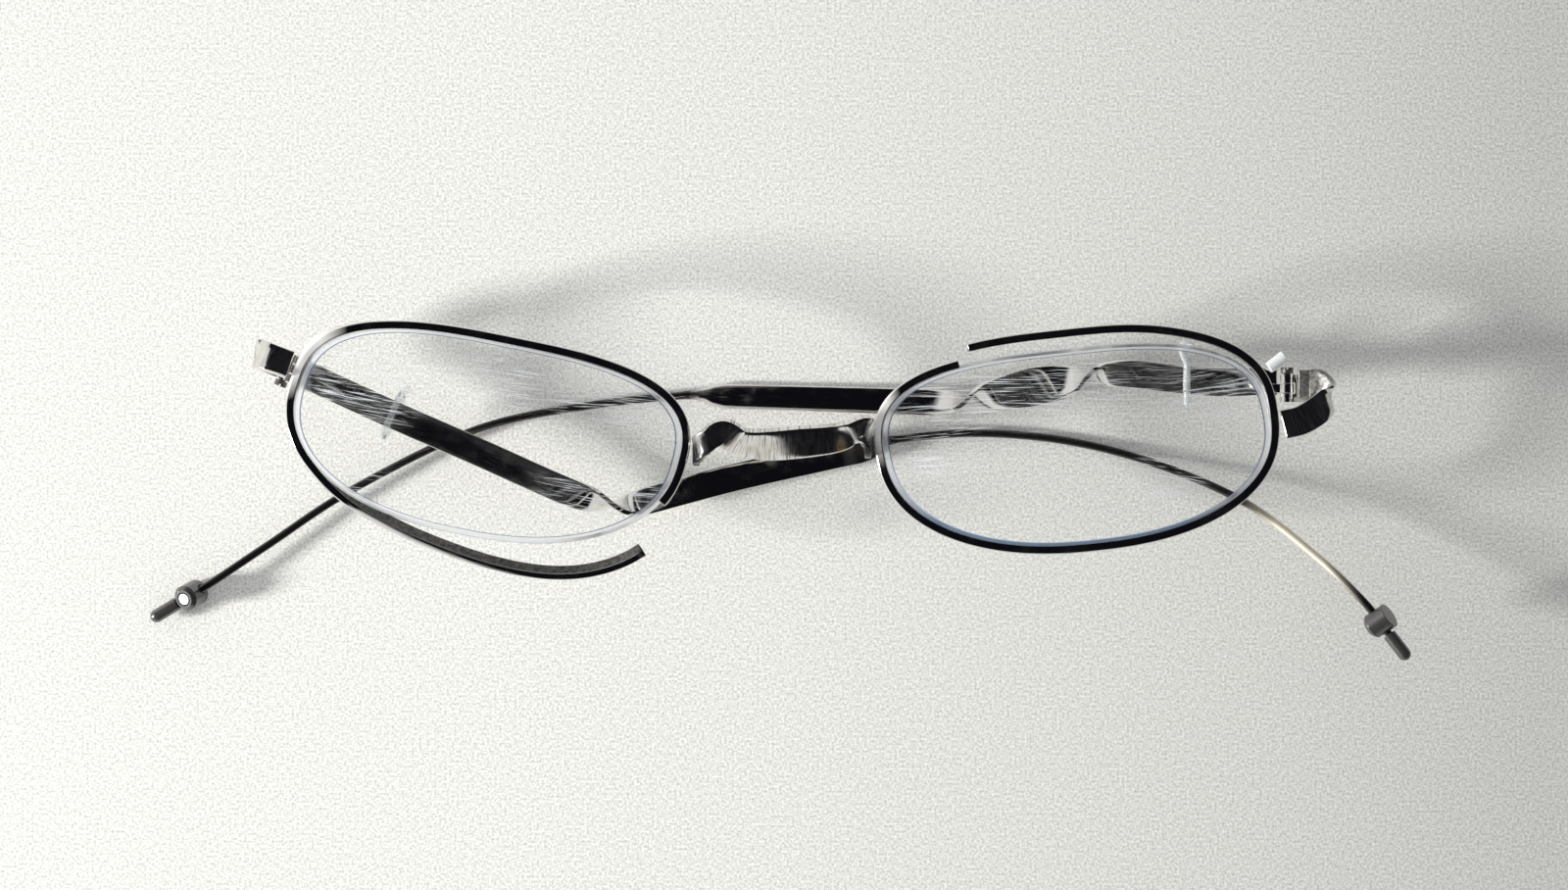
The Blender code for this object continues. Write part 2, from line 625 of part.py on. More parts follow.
def stand_on_origin():
    """Move everything so that the middle of the base is the origin."""
    bpy.context.view_layer.update()
    depsgraph = bpy.context.evaluated_depsgraph_get()
    corners = []
    for thing in glasses.objects:
        solid = thing.evaluated_get(depsgraph)
        mesh = solid.to_mesh()
        corners += [thing.matrix_world @ vertex.co for vertex in mesh.vertices]
        solid.to_mesh_clear()
    low = Vector([min(corner[i] for corner in corners) for i in range(3)])
    high = Vector([max(corner[i] for corner in corners) for i in range(3)])
    base = Vector(((low.x + high.x) / 2, (low.y + high.y) / 2, low.z))
    for thing in [*glasses.objects, *cutters.objects]:
        thing.matrix_world = Matrix.Translation(-base) @ thing.matrix_world


clear_scene()
glasses = new_collection("broken_eyeglasses")
cutters = new_collection("cutters")
for each_side in SIDES:
    make_lens(each_side)
    make_rim(each_side)
    make_end_piece(each_side)
    make_front_leaf(each_side)
    make_temple_leaf(each_side)
    make_hinge_screw(each_side)
    make_temple(each_side)
    make_tip(each_side)
    make_loop(each_side)
make_bridge()
make_bushing()
stand_on_origin()
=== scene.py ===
"""The finished look of a pair of broken metal eyeglasses, lying lens fronts up.

X runs along the front, Y towards the brows and Z up from the surface they lie on.
Left and right are as seen from above.
"""

import math

import bmesh
import bpy
from mathutils import Matrix, Vector


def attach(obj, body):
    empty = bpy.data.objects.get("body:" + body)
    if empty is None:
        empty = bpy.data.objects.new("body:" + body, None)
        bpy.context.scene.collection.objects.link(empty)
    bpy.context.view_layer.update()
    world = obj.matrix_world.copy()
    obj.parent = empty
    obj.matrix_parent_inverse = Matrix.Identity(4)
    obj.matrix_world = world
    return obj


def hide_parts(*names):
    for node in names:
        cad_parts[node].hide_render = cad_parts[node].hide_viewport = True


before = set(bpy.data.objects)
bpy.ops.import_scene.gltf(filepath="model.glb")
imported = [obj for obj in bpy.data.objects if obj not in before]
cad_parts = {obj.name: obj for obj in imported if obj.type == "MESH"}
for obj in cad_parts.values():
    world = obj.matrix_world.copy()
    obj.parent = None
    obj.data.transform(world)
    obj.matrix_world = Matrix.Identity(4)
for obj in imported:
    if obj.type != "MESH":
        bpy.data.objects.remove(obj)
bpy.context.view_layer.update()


# Lenses: clear cast plastic, ground to one mirrored outline with a V ridge round the edge
# that snaps into the rim's groove. The faces are scuffed in patches, and the ground edge is
# milky where the sprung rims leave it open.
MM = 0.001
LEFT, RIGHT = -1, 1
SIDES = {LEFT: "left", RIGHT: "right"}
LENS_WIDTH = 52.2 * MM
LENS_HEIGHT = 26.4 * MM
LENS_THICKNESS = 1.9 * MM
LENS_CURVE_RADIUS = 132 * MM
LENS_ARCH = 1.8 * MM
LENS_LEAN = 1.0 * MM
LENS_SQUARENESS = 2.5
LENS_RIDGE = 0.5 * MM
LENS_APEX_HEIGHT = 16.0 * MM
LENS_TURN = {LEFT: math.radians(-11.4), RIGHT: math.radians(6.2)}
LENS_LIFT = {LEFT: 0.9 * MM, RIGHT: -0.35 * MM}
LENS_SLIDE = -0.3 * MM
NOSE_GAP = 26.6 * MM
LENS_POINTS = 240
LENS_SHARES = (0.02, 0.12, 0.25, 0.4, 0.55, 0.7, 0.82, 0.92, 0.97, 0.977, 1.0)
LENS_IOR = 1.3
WELD_DISTANCE = 0.0005 * MM
COLOUR_MIX_INPUTS = (0, 6, 7)
COLOUR_MIX_OUTPUT = 2
PATCH_CORE = 0.4
WATER_CLEAR = (1.0, 1.0, 1.0, 1)
LET_THROUGH = (0.985, 0.985, 0.99, 1)
SCRATCH_TONE = (0.78, 0.83, 0.88, 1)
LOW_EDGE_HEIGHTS = (5 * MM, -4 * MM)
PALE_EDGE = ((0.84, 0.88, 0.95, 1), (0.95, 0.97, 1.0, 1), 0.75)
# Painted shade: the tones of the thin dark line inside the lens's pale border.
PAINTED_SHADE_LINE = ((0.09, 0.12, 0.20, 1), (0.22, 0.26, 0.37, 1), 0.35)
# Painted shade low on the right lens's ground edge and on its dark line.
LOW_RIGHT_PAINTED_SHADE = (0.07, 0.12, 0.22, 1)
LOW_RIGHT_PAINTED_LINE = (0.45, 0.52, 0.62, 1)

# Where the drawing's own origin, between the lenses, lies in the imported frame.
DRAWING_ORIGIN = Vector((0.9977, 6.1403, -0.0511)) * MM

# A kind of scratch: turn from its scuff's own, length, pitch, and the levels it shows between.
SCRATCHES = ((0, 8 * MM, 0.15 * MM, 0.62, 0.68), (4, 6 * MM, 0.12 * MM, 0.645, 0.7))

# A scuff: x, y, half width and half height in millimetres, and turn in degrees.
LEFT_SCUFFS = ((-55.4, 13.9, 10.5, 6.5, -12), (-37.0, 14.9, 10.0, 5.0, -9), (-27.0, -0.8, 8.0, 3.5, -12),
               (-16.9, 0.4, 5.0, 4.0, -5), (-53.5, 1.0, 5.0, 3.0, -6), (-22.0, 11.0, 10.0, 3.5, -5))
RIGHT_SCUFFS = ((20.6, 7.9, 9.0, 9.5, 2), (36.0, 13.4, 21.0, 6.0, -1), (58.6, 13.9, 10.0, 5.5, 7),
                (51.6, 1.9, 7.0, 4.5, -12))


def lens_sag(x, y):
    return LENS_CURVE_RADIUS - math.sqrt(LENS_CURVE_RADIUS ** 2 - x ** 2 - y ** 2)


def ridge_point(side, angle):
    """Tip of a lens's edge bevel, in the lens's own frame; the lower edge leans to the temple."""
    across = math.copysign(abs(math.cos(angle)) ** (2 / LENS_SQUARENESS), math.cos(angle))
    up = math.copysign(abs(math.sin(angle)) ** (2 / LENS_SQUARENESS), math.sin(angle))
    x = across * LENS_WIDTH / 2 - side * LENS_LEAN * up
    y = up * LENS_HEIGHT / 2 + LENS_ARCH * across ** 2
    return Vector((x, y, -lens_sag(x, y) - LENS_THICKNESS / 2))


def outward(side, angle):
    """Level direction straight out of the outline."""
    step = math.radians(1)
    along = ridge_point(side, angle + step) - ridge_point(side, angle - step)
    return Vector((along.y, -along.x, 0)).normalized()


def lens_place(side):
    """From the lens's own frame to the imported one."""
    x = side * (NOSE_GAP + LENS_WIDTH) / 2 + LENS_SLIDE
    centre = Vector((x, LENS_LIFT[side], LENS_APEX_HEIGHT))
    return Matrix.Translation(centre + DRAWING_ORIGIN) @ Matrix.Rotation(LENS_TURN[side], 4, "Z")


def extrude_ring(bm, edges):
    """Extrude a closed ring of edges in place; returns the new vertices and the new ring."""
    made = bmesh.ops.extrude_edge_only(bm, edges=edges)["geom"]
    points = [part for part in made if isinstance(part, bmesh.types.BMVert)]
    known = set(points)
    ring = [part for part in made if isinstance(part, bmesh.types.BMEdge) and known >= set(part.verts)]
    return points, ring


def finished_piece(name, bm, materials, crease=35):
    """Close the mesh work, shade it smooth up to the crease angle and link the piece."""
    bmesh.ops.remove_doubles(bm, verts=bm.verts, dist=WELD_DISTANCE)
    bmesh.ops.recalc_face_normals(bm, faces=bm.faces)
    mesh = bpy.data.meshes.new(name)
    bm.to_mesh(mesh)
    bm.free()
    mesh.shade_smooth()
    mesh.set_sharp_from_angle(angle=math.radians(crease))
    for material in materials:
        mesh.materials.append(material)
    piece = bpy.data.objects.new(name, mesh)
    bpy.context.scene.collection.objects.link(piece)
    return piece


def plug(material, socket, value):
    """Give a socket a plain value or another node's output."""
    if isinstance(value, bpy.types.NodeSocket):
        material.node_tree.links.new(value, socket)
    else:
        socket.default_value = value


def set_inputs(material, node, inputs):
    for socket_name, value in inputs.items():
        plug(material, node.inputs[socket_name.replace("_", " ")], value)


def new_material(name, **inputs):
    material = bpy.data.materials.new(name)
    material.use_nodes = True
    set_inputs(material, material.node_tree.nodes["Principled BSDF"], inputs)
    return material


def add_node(material, kind, **inputs):
    made = material.node_tree.nodes.new(kind)
    set_inputs(material, made, inputs)
    return made


def operate(material, kind, operation, values):
    """A node that works out one operation on the values."""
    made = material.node_tree.nodes.new(kind)
    made.operation = operation
    for socket, value in zip(made.inputs, values):
        plug(material, socket, value)
    return made.outputs


def arithmetic(material, operation, *values):
    return operate(material, "ShaderNodeMath", operation, values)["Value"]


def spread(material, value, low, high, to_low=0.0, to_high=1.0):
    """Map a value from one range to another and hold it there."""
    made = add_node(material, "ShaderNodeMapRange", Value=value, From_Min=low, From_Max=high,
                    To_Min=to_low, To_Max=to_high)
    return made.outputs["Result"]


def blended_colour(material, share, first, second):
    made = material.node_tree.nodes.new("ShaderNodeMix")
    made.data_type = "RGBA"
    for index, value in zip(COLOUR_MIX_INPUTS, (share, first, second)):
        plug(material, made.inputs[index], value)
    return made.outputs[COLOUR_MIX_OUTPUT]


def object_coordinates(material):
    return add_node(material, "ShaderNodeTexCoord").outputs["Object"]


def noise(material, coordinates, scale, detail):
    made = add_node(material, "ShaderNodeTexNoise", Vector=coordinates, Scale=scale, Detail=detail)
    return made.outputs["Fac"]


def cloudy(material, coordinates, size, detail=2.0):
    """Soft noise whose blotches are about this size."""
    return noise(material, coordinates, 1 / size, detail)


def laid_out(material, coordinates, place, turn, size):
    """Coordinates moved, turned in degrees and measured by the size."""
    made = add_node(material, "ShaderNodeMapping", Vector=coordinates, Location=place,
                    Rotation=(0, 0, math.radians(turn)), Scale=size)
    made.vector_type = "TEXTURE"
    return made.outputs["Vector"]


def scored_lines(material, coordinates, turn, length, pitch):
    """Noise drawn out into fine lines, turned from the X axis."""
    drawn_out = laid_out(material, coordinates, (0, 0, 0), turn, (length, pitch, length))
    return noise(material, drawn_out, 1.0, 2.0)


def patch(material, coordinates, x, y, half_width, half_height, turn):
    """1 in the middle of an oval patch, given in millimetres, and 0 outside it."""
    spot = laid_out(material, coordinates, (x * MM, y * MM, 0), turn, (half_width * MM, half_height * MM, 1))
    level = operate(material, "ShaderNodeVectorMath", "MULTIPLY", (spot, (1, 1, 0)))["Vector"]
    reach = operate(material, "ShaderNodeVectorMath", "LENGTH", (level,))["Value"]
    return spread(material, reach, 1.0, PATCH_CORE)


def let_light_through(material):
    """Clear plastic hardly dims the light that falls through it."""
    path = add_node(material, "ShaderNodeLightPath")
    passing = arithmetic(material, "MAXIMUM", path.outputs["Is Shadow Ray"], path.outputs["Is Diffuse Ray"])
    clear = add_node(material, "ShaderNodeBsdfTransparent", Color=LET_THROUGH)
    either = add_node(material, "ShaderNodeMixShader", Fac=passing)
    links = material.node_tree.links
    links.new(material.node_tree.nodes["Principled BSDF"].outputs["BSDF"], either.inputs[1])
    links.new(clear.outputs["BSDF"], either.inputs[2])
    links.new(either.outputs["Shader"], material.node_tree.nodes["Material Output"].inputs["Surface"])


def scuffed_lens(name, scuffs):
    """Clear plastic with hairline scratches in patches."""
    material = new_material(name, IOR=LENS_IOR)
    place = object_coordinates(material)
    scratches = 0.0
    for *oval, turn in scuffs:
        lines = []
        for stray, length, pitch, faint, full in SCRATCHES:
            scored = scored_lines(material, place, turn + stray, length, pitch)
            lines.append(spread(material, scored, faint, full))
        scuff = arithmetic(material, "MULTIPLY", arithmetic(material, "MAXIMUM", *lines),
                           patch(material, place, *oval, turn))
        scratches = arithmetic(material, "MAXIMUM", scuff, scratches)
    set_inputs(material, material.node_tree.nodes["Principled BSDF"], {
        "Base Color": blended_colour(material, scratches, WATER_CLEAR, SCRATCH_TONE),
        "Transmission Weight": spread(material, scratches, 0, 1, 1.0, 0.15),
        "Roughness": spread(material, scratches, 0, 1, 0.01, 0.4),
    })
    let_light_through(material)
    return material


def ground_edge(name, dark, light, clear, low=None):
    """Ground plastic, cloudy between two tones and clear by a share, with its own tone low down, which is
    painted shade.
    """
    material = new_material(name, IOR=LENS_IOR, Transmission_Weight=clear)
    place = object_coordinates(material)
    milk = cloudy(material, place, 1.5 * MM)
    tone = blended_colour(material, milk, dark, light)
    if low:
        height = add_node(material, "ShaderNodeSeparateXYZ", Vector=place).outputs["Y"]
        # Painted shade: low down, the edge turns to its own tone.
        tone = blended_colour(material, spread(material, height, *LOW_EDGE_HEIGHTS), tone, low)
    set_inputs(material, material.node_tree.nodes["Principled BSDF"], {
        "Base Color": tone,
        "Roughness": spread(material, milk, 0.3, 0.7, 0.25, 0.5),
    })
    let_light_through(material)
    return material


def make_lens(side, face, edge, line):
    """Rings are drawn from the middle of the front out over the ridge and back in behind.

    The ground edge shows through the front as a pale border with a thin painted shade line inside it.
    """
    bm = bmesh.new()
    angle = bm.verts.layers.float.new("angle")
    rings = [(share, 0.0) for share in LENS_SHARES]
    rings += [(None, None)]
    rings += [(share, LENS_THICKNESS) for share in reversed(LENS_SHARES)]
    tip = len(LENS_SHARES)
    face_slot, edge_slot, line_slot = range(3)
    slot_of = {tip - 2: line_slot, tip - 1: edge_slot, tip: edge_slot, tip + 1: edge_slot}
    points = bmesh.ops.create_circle(bm, segments=LENS_POINTS, radius=1)["verts"]
    for i, point in enumerate(points):
        point[angle] = i * math.tau / LENS_POINTS
    ring = first_ring = bm.edges[:]
    for number, (share, below) in enumerate(rings):
        if number:
            before = set(bm.faces)
            points, ring = extrude_ring(bm, ring)
            for made in set(bm.faces) - before:
                made.material_index = slot_of.get(number, face_slot)
        for point in points:
            ridge = ridge_point(side, point[angle])
            if share is None:
                point.co = ridge
                continue
            flat = (ridge - outward(side, point[angle]) * LENS_RIDGE) * share
            point.co = (flat.x, flat.y, -lens_sag(flat.x, flat.y) - below)
    bmesh.ops.edgeloop_fill(bm, edges=first_ring)
    bmesh.ops.edgeloop_fill(bm, edges=ring)
    bmesh.ops.transform(bm, matrix=lens_place(side), verts=bm.verts)
    name = f"{SIDES[side]}_lens"
    lens = finished_piece(name + "_clear", bm, (face, edge, line), crease=20)
    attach(lens, "front")
    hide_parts(name)


make_lens(LEFT, scuffed_lens("scuffed left lens", LEFT_SCUFFS),
          ground_edge("milky left lens edge", *PALE_EDGE),
          ground_edge("painted shade left edge line", *PAINTED_SHADE_LINE))
make_lens(RIGHT, scuffed_lens("scuffed right lens", RIGHT_SCUFFS),
          ground_edge("milky right lens edge with painted low shade", *PALE_EDGE, LOW_RIGHT_PAINTED_SHADE),
          ground_edge("painted shade right edge line", *PAINTED_SHADE_LINE, LOW_RIGHT_PAINTED_LINE))


# Rims: nickel alloy wire rolled with a V groove on its inner side, bent round the lens and
# polished. Each is cut through once, and its free end has sprung out and twisted.
GAP = 0.15 * MM
RIM_WALL = 0.6 * MM
RIM_DEPTH = 2.1 * MM
RIM_LIP = 0.15 * MM
RIM_CHAMFER = 0.2 * MM
RIM_CORNER = 0.1 * MM
RIM_CUT = {LEFT: -19.2, RIGHT: 116.4}
RIM_SWEEP = {LEFT: 354.1, RIGHT: 359.7}
RIM_BEND_LENGTH = 30
RIM_STEPS = 60
RIM_FINENESS = 6
END_BEVEL = 0.15 * MM
NICKEL = (0.80, 0.79, 0.77, 1)
WORN_NICKEL = (0.6, 0.57, 0.52, 1)
NICKEL_ROUGHNESS = (0.05, 0.2)
GROOVE_TONES = ((0.10, 0.10, 0.095, 1), (0.27, 0.26, 0.24, 1))
GROOVE_ACROSS = (GAP * 1.4, GAP * 1.1)
GROOVE_OVER = (RIM_DEPTH / 2 - 0.04 * MM, RIM_DEPTH / 2 - 0.08 * MM)
PAINTED_REFLECTION_ACROSS = (-0.26 * MM, -0.16 * MM)
PAINTED_REFLECTION_TONE = (0.93, 0.92, 0.90, 1)
DARK_END_TONE = (0.03, 0.025, 0.022, 1)

# Angles of the outline in degrees, each with how far the wire bends or twists from there on.
RIM_BENDS = {
    LEFT: ((121, -5.0), (147, 6.6), (175, -3.4), (203, -2.3), (240, -4.8), (290, 4.1)),
    RIGHT: ((345, -5.5), (390, -0.5), (425, 5.8)),
}
RIM_TWISTS = {LEFT: ((129, -20), (158, 20), (221, 32)), RIGHT: ()}

# Ovals as the scuffs are given.
# The two corners are bends where a painted reflection makes the rim bright.
PAINTED_REFLECTION_CORNERS = ((-62.6, 17.8, 7.4, 3.4, 48), (13.9, 9.6, 3.0, 6.6, 0))
DARK_END = (-17.6, -8.0, 1.1, 1.1, 0)


def eased(share):
    share = min(max(share, 0.0), 1.0)
    return share * share * (3 - 2 * share)


def between(start, end, share):
    return start + (end - start) * share


def so_far(turns, angle):
    """How far the turns passed by an angle of the outline add up."""
    return math.radians(sum(turn * eased((angle - at) / RIM_BEND_LENGTH) for at, turn in turns))


def rim_frames(side):
    """Ridge point, outward and up vectors along a rim, from its fixed cut end to its free one."""
    place = lens_place(side)
    turn = place.to_3x3()
    up = Vector((0, 0, 1))
    frames = []
    point = before = place @ ridge_point(side, math.radians(RIM_CUT[side]))
    for i in range(RIM_STEPS + 1):
        angle = RIM_CUT[side] + RIM_SWEEP[side] * i / RIM_STEPS
        unbent = place @ ridge_point(side, math.radians(angle))
        swing = Matrix.Rotation(so_far(RIM_BENDS[side], angle), 3, "Z")
        point = point + swing @ (unbent - before)
        before = unbent
        out = swing @ turn @ outward(side, math.radians(angle))
        roll = Matrix.Rotation(so_far(RIM_TWISTS[side], angle), 3, up.cross(out))
        frames.append((point, roll @ out, roll @ up))
    return frames


def curve_through(a, b, c, d, share):
    """Catmull-Rom point between b and c."""
    near = (c - a) * share
    mid = (a * 2 - b * 5 + c * 4 - d) * share ** 2
    far = (b * 3 - a - c * 3 + d) * share ** 3
    return b + (near + mid + far) / 2


def smooth_path(points, steps):
    """A finer path through the points, with this many pieces between each two."""
    padded = [points[0] * 2 - points[1], *points, points[-1] * 2 - points[-2]]
    path = []
    for i in range(len(points) - 1):
        for step in range(steps):
            path.append(curve_through(*padded[i:i + 4], step / steps))
    return path + [points[-1]]


def rounded_corners(corners, radius, segments=3):
    """A closed outline of (u, v) corners with each corner eased over by a short curve."""
    outline = []
    for i, corner in enumerate(corners):
        here = Vector(corner)
        back = Vector(corners[i - 1]) - here
        on = Vector(corners[(i + 1) % len(corners)]) - here
        start = here + back.normalized() * min(radius, back.length * 0.45)
        end = here + on.normalized() * min(radius, on.length * 0.45)
        for step in range(segments + 1):
            share = step / segments
            outline.append(between(between(start, here, share), between(here, end, share), share))
    return outline


def drawn_piece(name, frames, sections, material, body, node, slot, end_bevel=END_BEVEL):
    """Extrude a closed section along frames of centre, across and over; close and ease the ends.

    Every point keeps its distance along the piece and its place in the section for the finish.
    """
    bm = bmesh.new()
    seat = bm.verts.layers.int.new("seat")
    along = bm.verts.layers.float.new("along")
    across_at = bm.verts.layers.float.new("across")
    over_at = bm.verts.layers.float.new("over")
    points = bmesh.ops.create_circle(bm, segments=len(sections[0]), radius=1)["verts"]
    for i, point in enumerate(points):
        point[seat] = i
    ring = bm.edges[:]
    ends = [ring]
    distance = 0.0
    for number, ((centre, across, over), section) in enumerate(zip(frames, sections)):
        if number:
            points, ring = extrude_ring(bm, ring)
            distance += (centre - frames[number - 1][0]).length
        for point in points:
            u, v = section[point[seat]]
            point.co = centre + across * u + over * v
            point[across_at] = u
            point[over_at] = v
            point[along] = distance
    ends.append(ring)
    end_edges = []
    for edges in ends:
        bmesh.ops.edgeloop_fill(bm, edges=edges)
        end_edges += edges
    bmesh.ops.recalc_face_normals(bm, faces=bm.faces)
    bmesh.ops.bevel(bm, geom=end_edges, offset=end_bevel, segments=3, profile=0.5, affect="EDGES",
                    material=-1)
    piece = finished_piece(name, bm, (material,))
    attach(piece, body)
    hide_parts(node)


def kept_place(material, name):
    """A drawn piece's own along, across or over."""
    made = add_node(material, "ShaderNodeAttribute")
    made.attribute_name = name
    return made.outputs["Fac"]


def strip_coordinates(material, along_scale, across_scale):
    """Coordinates that follow a drawn piece: its length on X and its width on Y."""
    joined = add_node(material, "ShaderNodeCombineXYZ",
                      X=arithmetic(material, "MULTIPLY", kept_place(material, "along"), along_scale),
                      Y=arithmetic(material, "MULTIPLY", kept_place(material, "across"), across_scale))
    return joined.outputs["Vector"]


def polished_metal(name):
    """Polished nickel alloy: faint fingermarks, hairline scratches and small dull patches."""
    material = new_material(name, Metallic=1.0)
    marks = cloudy(material, object_coordinates(material), 2.2 * MM, 3.0)
    lines = noise(material, strip_coordinates(material, 300, 5000), 1.0, 2.0)
    scratches = spread(material, lines, 0.62, 0.75)
    dull = spread(material, marks, 0.5, 0.75)
    roughness = arithmetic(material, "MAXIMUM", dull, scratches)
    dents = add_node(material, "ShaderNodeBump", Strength=0.25, Distance=0.02 * MM, Height=lines)
    set_inputs(material, material.node_tree.nodes["Principled BSDF"], {
        "Base Color": blended_colour(material, dull, NICKEL, WORN_NICKEL),
        "Roughness": spread(material, roughness, 0, 1, *NICKEL_ROUGHNESS),
        "Normal": dents.outputs["Normal"],
    })
    return material


def finish_over(material, share, colour, roughness, metallic):
    """Lay another finish over a material's own, as far as a share of 0 to 1 says."""
    shader = material.node_tree.nodes["Principled BSDF"]
    own_colour = shader.inputs["Base Color"].links[0].from_socket
    own_roughness = shader.inputs["Roughness"].links[0].from_socket
    metal = shader.inputs["Metallic"]
    own_metal = metal.links[0].from_socket if metal.links else 1.0
    kept = arithmetic(material, "SUBTRACT", 1.0, share)
    set_inputs(material, shader, {
        "Base Color": blended_colour(material, share, own_colour, colour),
        "Roughness": arithmetic(material, "MULTIPLY_ADD", kept, own_roughness,
                                arithmetic(material, "MULTIPLY", share, roughness)),
        "Metallic": arithmetic(material, "MULTIPLY_ADD", kept, own_metal,
                               arithmetic(material, "MULTIPLY", share, metallic)),
    })


def mottled_tone(material, coordinates, size, dark, light):
    blotches = spread(material, cloudy(material, coordinates, size, 4.0), 0.35, 0.65)
    return blended_colour(material, blotches, dark, light)


def rim_finish(name):
    """Polished outside, dull in the groove, bright at two bends with a painted reflection, and dark at one
    end.
    """
    material = polished_metal(name)
    place = object_coordinates(material)
    across = kept_place(material, "across")
    level = arithmetic(material, "ABSOLUTE", kept_place(material, "over"))
    groove = arithmetic(material, "MULTIPLY", spread(material, across, *GROOVE_ACROSS),
                        spread(material, level, *GROOVE_OVER))
    # Painted reflection: a pale, almost matt tone on the outer faces at the two bends.
    corners = [patch(material, place, *corner) for corner in PAINTED_REFLECTION_CORNERS]
    painted_bright_reflection = arithmetic(material, "MULTIPLY", arithmetic(material, "MAXIMUM", *corners),
                        spread(material, across, *PAINTED_REFLECTION_ACROSS))
    finish_over(material, painted_bright_reflection, PAINTED_REFLECTION_TONE, 0.4, 0.1)
    finish_over(material, groove, mottled_tone(material, place, 0.5 * MM, *GROOVE_TONES), 0.55, 0.6)
    finish_over(material, patch(material, place, *DARK_END), DARK_END_TONE, 0.3, 0.8)
    return material


def make_rim(side, material):
    outer = GAP + RIM_WALL
    inner = GAP - LENS_RIDGE
    top = RIM_DEPTH / 2
    lip = top - RIM_LIP
    corners = [(outer, RIM_CHAMFER - top), (outer, top - RIM_CHAMFER), (outer - RIM_CHAMFER, top),
               (inner, top), (inner, lip), (GAP, 0), (inner, -lip), (inner, -top),
               (outer - RIM_CHAMFER, -top)]
    section = rounded_corners(corners, RIM_CORNER)
    fine = [smooth_path(column, RIM_FINENESS) for column in zip(*rim_frames(side))]
    frames = [(point, out.normalized(), up.normalized()) for point, out, up in zip(*fine)]
    name = f"{SIDES[side]}_rim"
    drawn_piece(name + "_wire", frames, [section] * len(frames), material, "front", name, "polished_metal")


rim_metal = rim_finish("polished rim metal")
for each_side in SIDES:
    make_rim(each_side, rim_metal)


# Bridge: one flat strip of the same alloy, brazed on edge to the nose side of each rim and
# crumpled in the break, with the marks of a coarse file across its width.
BRIDGE_WIDTH = 4.6
BRIDGE_FOOT_WIDTH = 3.6
BRIDGE_THICKNESS = 0.95
BRIDGE_EDGE = 1.2
BRIDGE_HEIGHT = 16.0
BRIDGE_ROUNDNESS = 0.12
STRIP_FINENESS = 14
STRIP_SIDES = 40
FLAT_POWER, ROUND_POWER = 9, 2
FILED_NICKEL = (0.82, 0.81, 0.79, 1)
TARNISH = (0.62, 0.57, 0.49, 1)
FILE_MARK = (0.16, 0.155, 0.15, 1)
DARK_FEET = ((-10.7, 4.9, 1.9, 2.6, 0), (12.4, 5.6, 1.6, 2.8, 0))
DARK_FOOT_TONE = (0.02, 0.02, 0.022, 1)
BRIDGE_PAINTED_GLINT = (8.5, 6.0, 1.0, 1.7, 0)
WARM_PAINTED_GLINT_TONE = (0.90, 0.72, 0.45, 1)


def strip_frames(stations):
    """Frames and sections of a strip, from stations in millimetres.

    A station holds place, roll, width, thickness and roundness: 0 is a flat band with eased
    edges and 1 is a round wire.
    """
    path = smooth_path([Vector(station[:3]) * MM for station in stations], STRIP_FINENESS)
    ends = zip([path[0], *path], [*path[1:], path[-1], path[-1]])
    tangents = [(after - before).normalized() for before, after in ends][:len(path)]
    frames, sections = [], []
    for i, (point, along) in enumerate(zip(path, tangents)):
        first = min(i // STRIP_FINENESS, len(stations) - 2)
        share = i / STRIP_FINENESS - first
        roll, width, thickness, roundness = (
            between(a, b, share) for a, b in zip(stations[first][3:], stations[first + 1][3:]))
        across = (Vector((0, 1, 0)) - along * along.y).normalized()
        across = Matrix.Rotation(math.radians(roll), 3, along) @ across
        power = 2 / between(FLAT_POWER, ROUND_POWER, roundness)
        section = []
        for side in range(STRIP_SIDES):
            angle = (side + 0.5) * math.tau / STRIP_SIDES
            wide = math.copysign(abs(math.cos(angle)) ** power, math.cos(angle))
            thick = math.copysign(abs(math.sin(angle)) ** power, math.sin(angle))
            section.append((wide * width * MM / 2, thick * thickness * MM / 2))
        frames.append((point, across, along.cross(across)))
        sections.append(section)
    return frames, sections


def brushed_metal(name, depth, streak):
    """Bare alloy with file marks across the strip and a warm tarnish in patches."""
    material = new_material(name, Metallic=1.0)
    blotches = cloudy(material, object_coordinates(material), 3.5 * MM, 3.0)
    lines = noise(material, strip_coordinates(material, 6500, 260), 1.0, 3.0)
    tone = blended_colour(material, spread(material, blotches, 0.5, 0.75), FILED_NICKEL, TARNISH)
    streaks = spread(material, lines, 0.52, 0.66, 0.0, streak)
    deep = spread(material, lines, 0.42, 0.68)
    dents = add_node(material, "ShaderNodeBump", Strength=depth, Distance=0.03 * MM, Height=lines)
    set_inputs(material, material.node_tree.nodes["Principled BSDF"], {
        "Base Color": blended_colour(material, streaks, tone, FILE_MARK),
        "Roughness": spread(material, deep, 0, 1, 0.1, 0.26),
        "Normal": dents.outputs["Normal"],
    })
    return material


def bridge_finish(name):
    """Coarsely filed, dark at both feet, with a warm painted highlight beside the right one."""
    material = brushed_metal(name, 0.34, 0.9)
    place = object_coordinates(material)
    feet = arithmetic(material, "MAXIMUM", *(patch(material, place, *foot) for foot in DARK_FEET))
    finish_over(material, feet, DARK_FOOT_TONE, 0.2, 0.9)
    # Painted highlight: a warm glint laid on the metal beside the right foot.
    finish_over(material, patch(material, place, *BRIDGE_PAINTED_GLINT), WARM_PAINTED_GLINT_TONE, 0.3, 1.0)
    return material


def nose_face(side):
    """Where the rim's outer face comes nearest to the nose."""
    points = [point + out * (GAP + RIM_WALL) for point, out, _ in rim_frames(side)]
    return min(points, key=lambda point: point.x * side)


